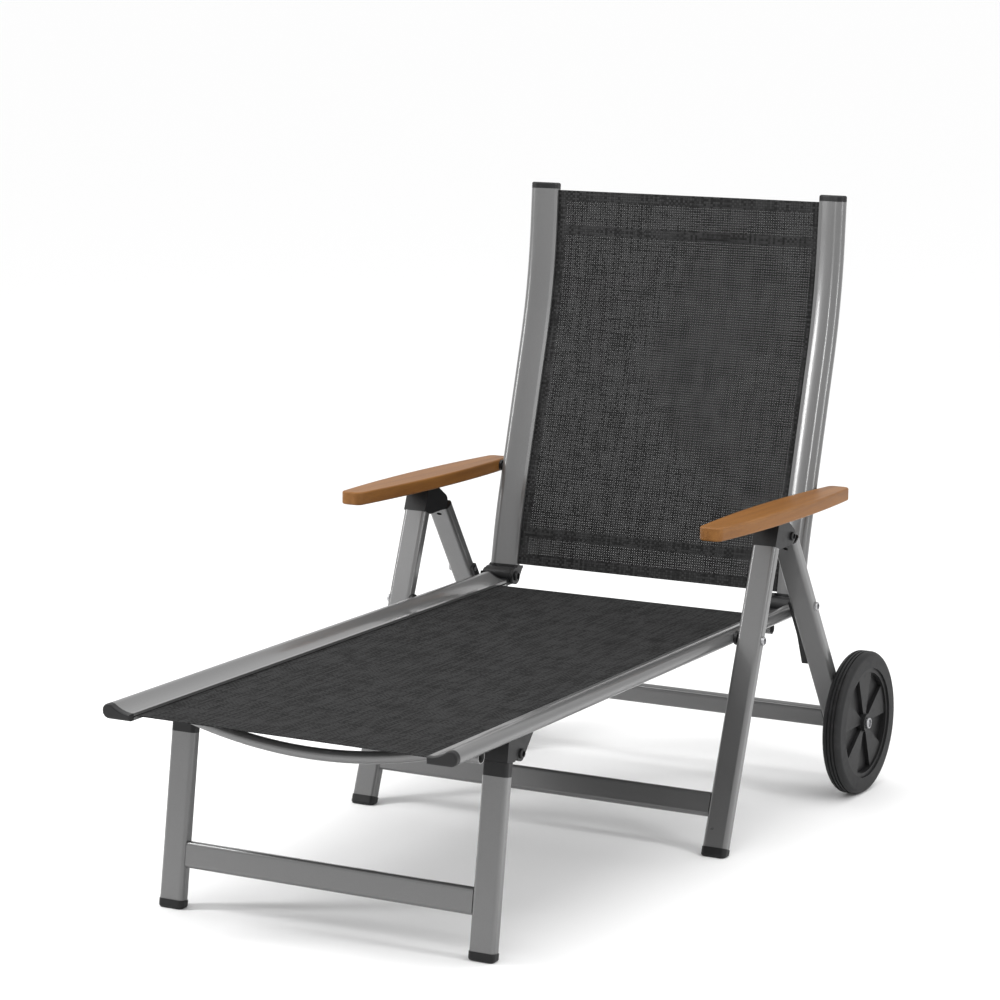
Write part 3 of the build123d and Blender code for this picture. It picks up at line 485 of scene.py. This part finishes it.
def plastic_finish(name, colour, grain, roughness):
    """Moulded plastic with a fine spark-eroded grain and faint rub marks."""
    finish = Finish(name, PLASTIC_SHINE)
    place = finish.place()
    rubbed = finish.ramp(finish.noise(place, RUB_MARKS, detail=5.0), *RUB_RANGE)
    finish.feed("Base Color", finish.mix(rubbed, colour, shade(colour, RUB_SHADE)))
    finish.feed("Roughness", roughness + rubbed * RUB_ROUGHNESS)
    finish.bump(finish.noise(place, grain), PLASTIC_RELIEF)
    return finish.material


def rubber_finish(colour):
    """Dusty solid rubber."""
    finish = Finish("tyre_rubber", RUBBER_SHINE)
    place = finish.place()
    dust = finish.ramp(finish.noise(place, DUST_MARKS, detail=5.0), *DUST_RANGE)
    finish.feed("Base Color", finish.mix(dust, colour, shade(colour, DUST_SHADE)))
    finish.feed("Roughness", RUBBER_ROUGHNESS + dust * DUST_ROUGHNESS)
    finish.bump(finish.noise(place, RUBBER_GRAIN), RUBBER_RELIEF)
    return finish.material


def steel_finish(colour):
    """Zinc-plated steel with faint flecks."""
    finish = Finish("zinc_plated_steel", STEEL_SHINE)
    fleck = finish.noise(finish.place(), STEEL_FLECKS, detail=3.0)
    finish.feed("Base Color", finish.mix(fleck, shade(colour, STEEL_DARK_SHADE), colour))
    finish.feed("Roughness", STEEL_ROUGHNESS + fleck * STEEL_FLECK_ROUGHNESS)
    return finish.material


# Wood

WOOD_SHINE = {"Specular IOR Level": 0.2}
WOOD_BANDS = (85, 2.4, 60)
WOOD_FIBRES = (850, 16, 850)
WOOD_PORES = (1300, 55, 1300)
WOOD_FIBRE_SHARE = 0.4
WOOD_FIBRE_ROUGHNESS = 0.12
WOOD_GRAIN_RANGE = (0.3, 0.7)
WOOD_PORE_RANGE = (0.62, 0.74)
WOOD_PORE_SHARE = 0.35
WOOD_PORE_SHADE = 0.5
WOOD_PORE_DEPTH = 0.8
WOOD_RELIEF = 0.12 * MM


def wood_finish(settings):
    """Oiled hardwood: growth bands, fine fibres and dark pores along the armrest."""
    finish = Finish("oiled_hardwood", WOOD_SHINE)
    place = finish.place()
    bands = finish.noise(place, WOOD_BANDS, detail=3.0)
    fibres = finish.noise(place, WOOD_FIBRES, detail=3.0, roughness=0.6)
    pores = finish.ramp(finish.noise(place, WOOD_PORES), *WOOD_PORE_RANGE)
    grain = bands * (1 - WOOD_FIBRE_SHARE) + fibres * WOOD_FIBRE_SHARE
    share = finish.ramp(grain, *WOOD_GRAIN_RANGE)
    wood = finish.mix(share, settings.dark_wood, settings.pale_wood)
    pore = shade(settings.dark_wood, WOOD_PORE_SHADE)
    finish.feed("Base Color", finish.mix(pores * WOOD_PORE_SHARE, wood, pore))
    finish.feed("Roughness", settings.roughness + (fibres - 0.5) * WOOD_FIBRE_ROUGHNESS)
    finish.bump(fibres - pores * WOOD_PORE_DEPTH, WOOD_RELIEF)
    return finish.material


# Woven cloth

YARN_SURFACE = {"Roughness": 0.75, "Specular IOR Level": 0.03}
# Steps in the noise from strand to strand, so that neighbours share no slub
STRAND_STEPS = (7.31, 3.17)
WARP_SLUB_RANGE = (0.4, 0.58)
WEFT_SLUB_RANGE = (0.3, 0.6)
WEFT_PALENESS = 0.85
# How much lower the cloth is between two strands, and how much darker it is there in painted shade
SUNK_STRAND_DROP_AND_SHADE = 0.55
CROWN_FALL = 0.5
YARN_FALL = 0.3
WEAVE_RELIEF = 0.5 * MM


class Strand(NamedTuple):
    """The strand at a place on the cloth, as wires."""

    number: Wire
    # From 0 on its middle line to 1 half way to the next
    away: Wire
    # From 0 between two of its yarns to 1 on the crown of one
    roundness: Wire
    # From 0 where it is dark to 1 where it is pale
    slub: Wire


def strand(finish, across, along, pitch, slub_range, settings):
    """The strands that lie a pitch apart across the cloth."""
    count = across / pitch
    number = math.floor(count)
    offset = count - number - 0.5
    yarn = abs((offset * (settings.yarns / settings.cover)) % 1 - 0.5) * 2
    steps = {0: number * STRAND_STEPS[0], 1: along, 2: number * STRAND_STEPS[1]}
    track = finish.node("ShaderNodeCombineXYZ", {}, steps)
    slub = finish.ramp(finish.noise(track, (1, settings.slubs, 1), detail=1.0), *slub_range)
    return Strand(number, abs(offset) * 2, 1 - yarn * yarn, slub)


def crown(upper, lower):
    """Height of a strand where it passes over another, with its yarns."""
    arch = 1 - CROWN_FALL * lower.away * lower.away
    return arch * (1 - YARN_FALL + YARN_FALL * upper.roundness)


def sling_finish(name, settings, open_weave):
    """Plain weave of coated yarns with slubs both ways and painted shade between the strands; its
    gaps are open in single cloth.
    """
    finish = Finish(name, YARN_SURFACE)
    flat = finish.node("ShaderNodeTexCoord", output="UV")
    split = finish.node("ShaderNodeSeparateXYZ", {}, {0: flat})
    u, v = split.output("X"), split.output("Y")
    warp = strand(finish, u, v, settings.warp_pitch, WARP_SLUB_RANGE, settings)
    weft = strand(finish, v, u, settings.weft_pitch, WEFT_SLUB_RANGE, settings)
    over = (warp.number + weft.number) % 2
    under = 1 - over
    warp_gap, weft_gap = warp.away > settings.cover, weft.away > settings.cover
    gap = warp_gap * weft_gap
    beside = warp_gap + weft_gap - gap
    # Painted shade: between strands the thread colour is darkened, darkest in the gaps, where the
    # doubled hems show dark thread in place of the shaded layer behind
    depth = 1 - SUNK_STRAND_DROP_AND_SHADE * beside - (1 - SUNK_STRAND_DROP_AND_SHADE) * gap
    paleness_with_painted_shade = (warp.slub * over + weft.slub * WEFT_PALENESS * under) * depth
    finish.feed("Base Color", finish.mix(paleness_with_painted_shade, settings.dark_thread, settings.pale_thread))
    height = crown(warp, weft) * over + crown(weft, warp) * under
    finish.bump(height * depth, WEAVE_RELIEF)
    if open_weave:
        finish.feed("Alpha", 1 - gap)
    return finish.material


# Pieces of the frame


def nodes_of(slot):
    """Packed nodes that take one of the record's material slots."""
    parts = frame["record"]["subparts"]
    return [frame["nodes"][part["node"]] for part in parts if part["material_slot"] == slot]


def dress(slot, material):
    """Gives every node of a slot its finish."""
    pieces = nodes_of(slot)
    if not pieces:
        raise RuntimeError(f"the frame has no node with the slot {slot}")
    for piece in pieces:
        piece.data.materials.clear()
        piece.data.materials.append(material)


# Slings

SEAT_CELLS = (32, 70)
BACK_CELLS = (32, 60)
SIDE_HEM_CELLS = 2
END_HEM_CELLS = 3
CLOTH_EDGE = math.radians(40)
# The higher this power, the nearer to the free ends the seat's sag stays
SEAT_END_POWER = 6
BACK_TREND_DEGREE = 9
BACK_CURVE_POINTS = 200


def cloth_piece(name, place, across, along, thickness, cells):
    """A thin closed sheet over a place(u, v, lift) surface, between two values of u and of v."""
    columns, rows = cells
    us = np.linspace(*across, columns + 1)
    vs = np.linspace(*along, rows + 1)
    spots = [(u, v) for v in vs for u in us]
    top = [place(u, v, thickness / 2) for u, v in spots]
    bottom = [place(u, v, -thickness / 2) for u, v in spots]
    count = len(spots)
    width = columns + 1
    faces = []
    for row in range(rows):
        for column in range(columns):
            corner = row * width + column
            quad = (corner, corner + 1, corner + width + 1, corner + width)
            faces.append(quad)
            faces.append(tuple(index + count for index in reversed(quad)))
    rim = list(range(width))
    rim += [row * width + columns for row in range(1, rows + 1)]
    rim += [rows * width + column for column in range(columns - 1, -1, -1)]
    rim += [row * width for row in range(rows - 1, 0, -1)]
    for first, second in zip(rim, rim[1:] + rim[:1]):
        faces.append((second, first, first + count, second + count))
    mesh = bpy.data.meshes.new(name)
    mesh.from_pydata([tuple(point) for point in top + bottom], [], faces)
    mesh.update()
    weave = mesh.uv_layers.new(name="weave")
    corners = [value for loop in mesh.loops for value in spots[loop.vertex_index % count]]
    weave.data.foreach_set("uv", corners)
    mesh.shade_smooth()
    mesh.set_sharp_from_angle(angle=CLOTH_EDGE)
    piece = bpy.data.objects.new(name, mesh)
    bpy.context.scene.collection.objects.link(piece)
    return piece


def seat_surface(settings):
    """Place on the seat cloth from u across and v along, and its half width and ends."""
    low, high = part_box("seat_sling")
    level = (low.z + high.z) / 2

    def place(u, v, lift):
        way = 2 * (v - low.y) / (high.y - low.y) - 1
        slack = (1 - (u / high.x) ** 2) * (1 - way**SEAT_END_POWER)
        return Vector((u, v, level - settings.seat_sag * slack + lift))

    return place, high.x, (low.y, high.y)


def back_surface(settings):
    """Place on the back cloth from u across and v along its curve, and its half width and ends."""
    low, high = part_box("back_sling")
    corners = np.array([vertex.co for vertex in frame["nodes"]["back_sling"].data.vertices], float)
    stations, heights = corners[:, 1], corners[:, 2]
    trend = np.polyfit(heights, stations, BACK_TREND_DEGREE)
    behind = stations > np.polyval(trend, heights)
    levels = np.linspace(low.z, high.z, BACK_CURVE_POINTS)
    sides = []
    for side in (behind, ~behind):
        order = np.argsort(heights[side])
        sides.append(np.interp(levels, heights[side][order], stations[side][order]))
    line = np.stack([(sides[0] + sides[1]) / 2, levels], axis=1)
    pieces = np.linalg.norm(np.diff(line, axis=0), axis=1)
    lengths = np.concatenate([[0.0], np.cumsum(pieces)])
    slopes = np.gradient(line, lengths, axis=0)

    def place(u, v, lift):
        point = [np.interp(v, lengths, line[:, axis]) for axis in (0, 1)]
        slope = [np.interp(v, lengths, slopes[:, axis]) for axis in (0, 1)]
        slack = 1 - (u / high.x) ** 2
        out = lift - settings.back_sag * slack
        return Vector((u, point[0] - slope[1] * out, point[1] + slope[0] * out))

    return place, high.x, (0.0, float(lengths[-1]))


def hang_sling(name, body, surface, cells):
    """A stretched sling in place of the plain sheet of its name: open cloth and doubled hems."""
    settings = bpy.context.scene.lounger_sling
    thickness = settings.thickness
    place, half, (start, end) = surface(settings)
    cloth = cloth_piece(f"{name}_cloth", place, (-half, half), (start, end), thickness, cells)
    cloth.data.materials.append(sling_finish(f"{name}_mesh", settings, True))
    doubled = sling_finish(f"{name}_doubled_mesh", settings, False)
    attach(cloth, body)
    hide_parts(name)

    def behind(u, v, lift):
        return place(u, v, lift - thickness)

    side, tuck = settings.side_hem, settings.end_hem
    side_cells = (SIDE_HEM_CELLS, cells[1])
    end_cells = (cells[0], END_HEM_CELLS)
    strips = {
        "left": ((-half, side - half), (start, end), side_cells),
        "right": ((half - side, half), (start, end), side_cells),
        "low": ((side - half, half - side), (start, start + tuck), end_cells),
        "high": ((side - half, half - side), (end - tuck, end), end_cells),
    }
    for where, (across, along, hem_cells) in strips.items():
        hem = cloth_piece(f"{name}_hem_{where}", behind, across, along, thickness, hem_cells)
        hem.data.materials.append(doubled)
        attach(hem, body)
    2 * half
    end - start


# Stage

FLOOR_HALF = 120.0
FLOOR_ROUGHNESS = 0.9
# The walls are white at the horizon and fade to their own brightness by this rise
HORIZON_BAND = 0.25
SENSOR_WIDTH = 36.0
CAMERA_REACH = 400.0
SOFT_BOXES = {
    "top_light": {
        "place": (0.0, -0.2, 3.2), "target": (0.0, 0.1, 0.3), "size": (2.6, 2.6), "power": 34
    },
    "left_light": {
        "place": (-2.0, -1.2, 2.2), "target": (-0.1, 0.3, 0.6), "size": (0.3, 2.0), "power": 44
    },
    "right_light": {
        "place": (2.6, -0.2, 1.9), "target": (0.1, 0.3, 0.6), "size": (0.25, 2.0), "power": 26
    },
}


def lay_floor(scene, settings):
    """An endless pale floor."""
    surface = {"Base Color": opaque(settings.floor), "Roughness": FLOOR_ROUGHNESS}
    corners = [(x * FLOOR_HALF, y * FLOOR_HALF, 0) for x, y in ((-1, -1), (1, -1), (1, 1), (-1, 1))]
    mesh = bpy.data.meshes.new("floor")
    mesh.from_pydata(corners, [], [(0, 1, 2, 3)])
    mesh.materials.append(Finish("pale_floor", surface).material)
    floor = bpy.data.objects.new("floor", mesh)
    scene.collection.objects.link(floor)


def light_room(scene, settings):
    """A white room that is brightest at the horizon and overhead."""
    world = bpy.data.worlds.new("studio")
    room = Nodes(world)
    outward = room.node("ShaderNodeTexCoord", output="Generated")
    up = room.node("ShaderNodeSeparateXYZ", {}, {0: outward}).output("Z")
    ceiling = up.math("MAXIMUM", up, 0) * settings.zenith
    glow = 1 - (1 - settings.walls) * room.ramp(abs(up), 0, HORIZON_BAND) + ceiling
    background = world.node_tree.nodes["Background"]
    room.join(glow, background.inputs["Strength"])
    room.join((1, 1, 1, 1), background.inputs["Color"])
    scene.world = world


def soft_light(scene, name, place, target, size, power):
    """A soft box that faces a point."""
    lamp = bpy.data.lights.new(name, "AREA")
    lamp.shape = "RECTANGLE"
    lamp.size, lamp.size_y = size
    lamp.energy = power
    light = bpy.data.objects.new(name, lamp)
    light.location = place
    light.rotation_mode = "QUATERNION"
    light.rotation_quaternion = (Vector(target) - Vector(place)).to_track_quat("-Z", "Y")
    scene.collection.objects.link(light)


def place_camera(scene, settings):
    """A camera in front of the foot end that looks along the settings' angles."""
    level = math.cos(settings.elevation)
    ahead = Vector(
        (
            -math.sin(settings.azimuth) * level,
            math.cos(settings.azimuth) * level,
            -math.sin(settings.elevation),
        )
    )
    lens = bpy.data.cameras.new("camera")
    lens.sensor_width = SENSOR_WIDTH
    lens.lens = settings.lens
    lens.clip_end = CAMERA_REACH
    camera = bpy.data.objects.new("camera", lens)
    camera.location = Vector((0, CAD_LOW.y, 0)) + Vector(settings.camera_from_foot)
    camera.rotation_mode = "QUATERNION"
    camera.rotation_quaternion = ahead.to_track_quat("-Z", "Y")
    scene.collection.objects.link(camera)
    scene.camera = camera


# Operators


class LOUNGER_OT_frame_tubes(bpy.types.Operator):
    """Coats the rails, legs, bars and cross tubes"""

    bl_idname = "lounger.frame_tubes"
    bl_label = "Frame tubes"

    def execute(self, context):
        dress("coated_frame", coated_finish(context.scene.lounger_tubes))
        return {"FINISHED"}


class LOUNGER_OT_fittings(bpy.types.Operator):
    """Finishes the black caps, brackets, knuckles and feet, and the bolts"""

    bl_idname = "lounger.fittings"
    bl_label = "Fittings and bolts"

    def execute(self, context):
        settings = context.scene.lounger_fittings
        plastic = plastic_finish(
            "black_fittings", settings.plastic, FITTING_GRAIN, FITTING_ROUGHNESS
        )
        dress("black_plastic", plastic)
        dress("bolt_steel", steel_finish(settings.bolt))
        return {"FINISHED"}


class LOUNGER_OT_wheels(bpy.types.Operator):
    """Finishes the rims and the tyres"""

    bl_idname = "lounger.wheels"
    bl_label = "Wheels"

    def execute(self, context):
        settings = context.scene.lounger_wheels
        dress("rim_plastic", plastic_finish("grey_rims", settings.rim, RIM_GRAIN, RIM_ROUGHNESS))
        dress("tyre_rubber", rubber_finish(settings.tyre))
        return {"FINISHED"}


class LOUNGER_OT_armrests(bpy.types.Operator):
    """Finishes the wooden armrests"""

    bl_idname = "lounger.armrests"
    bl_label = "Armrests"

    def execute(self, context):
        dress("oiled_wood", wood_finish(context.scene.lounger_armrests))
        return {"FINISHED"}


class LOUNGER_OT_seat_sling(bpy.types.Operator):
    """Hangs the seat's cloth between the seat rails"""

    bl_idname = "lounger.seat_sling"
    bl_label = "Seat sling"

    def execute(self, context):
        hang_sling("seat_sling", "seat", seat_surface, SEAT_CELLS)
        return {"FINISHED"}


class LOUNGER_OT_back_sling(bpy.types.Operator):
    """Hangs the back's cloth between the back rails"""

    bl_idname = "lounger.back_sling"
    bl_label = "Back sling"

    def execute(self, context):
        hang_sling("back_sling", "backrest", back_surface, BACK_CELLS)
        return {"FINISHED"}


class LOUNGER_OT_stage(bpy.types.Operator):
    """Lays a pale floor, sets soft studio light and places the camera"""

    bl_idname = "lounger.stage"
    bl_label = "Stage"

    def execute(self, context):
        scene = context.scene
        settings = scene.lounger_stage
        lay_floor(scene, settings)
        light_room(scene, settings)
        for name, soft_box in SOFT_BOXES.items():
            soft_light(scene, name, **soft_box)
        place_camera(scene, settings)
        scene.view_settings.view_transform = "Standard"
        return {"FINISHED"}


class LOUNGER_PT_pieces(bpy.types.Panel):
    """Lists the pieces of the lounger"""

    bl_idname = "LOUNGER_PT_pieces"
    bl_label = "Sun lounger"
    bl_space_type = "VIEW_3D"
    bl_region_type = "UI"
    bl_category = "Lounger"

    def draw(self, context):
        for operator in OPERATORS:
            self.layout.operator(operator.bl_idname)
        for name in SETTINGS:
            box = self.layout.box()
            settings = getattr(context.scene, name)
            for prop in settings.__annotations__:
                box.prop(settings, prop)


SETTINGS = {
    "lounger_tubes": TubeSettings,
    "lounger_fittings": FittingSettings,
    "lounger_wheels": WheelSettings,
    "lounger_armrests": ArmrestSettings,
    "lounger_sling": SlingSettings,
    "lounger_stage": StageSettings,
}
OPERATORS = (
    LOUNGER_OT_frame_tubes,
    LOUNGER_OT_fittings,
    LOUNGER_OT_wheels,
    LOUNGER_OT_armrests,
    LOUNGER_OT_seat_sling,
    LOUNGER_OT_back_sling,
    LOUNGER_OT_stage,
)


def register():
    """Makes the settings, operators and panel known to Blender."""
    for name, group in SETTINGS.items():
        bpy.utils.register_class(group)
        setattr(bpy.types.Scene, name, bpy.props.PointerProperty(type=group))
    for operator in OPERATORS:
        bpy.utils.register_class(operator)
    bpy.utils.register_class(LOUNGER_PT_pieces)


def unregister():
    """Takes them out again."""
    bpy.utils.unregister_class(LOUNGER_PT_pieces)
    for operator in reversed(OPERATORS):
        bpy.utils.unregister_class(operator)
    for name, group in reversed(SETTINGS.items()):
        delattr(bpy.types.Scene, name)
        bpy.utils.unregister_class(group)


def main():
    """Dresses the lounger piece by piece."""
    register()
    for name in ("Cube", "Light", "Camera"):
        if name in bpy.data.objects:
            bpy.data.objects.remove(bpy.data.objects[name])
    bpy.ops.lounger.frame_tubes()
    bpy.ops.lounger.fittings()
    bpy.ops.lounger.wheels()
    bpy.ops.lounger.armrests()
    bpy.ops.lounger.seat_sling()
    bpy.ops.lounger.back_sling()
    bpy.ops.lounger.stage()


if __name__ == "__main__":
    main()
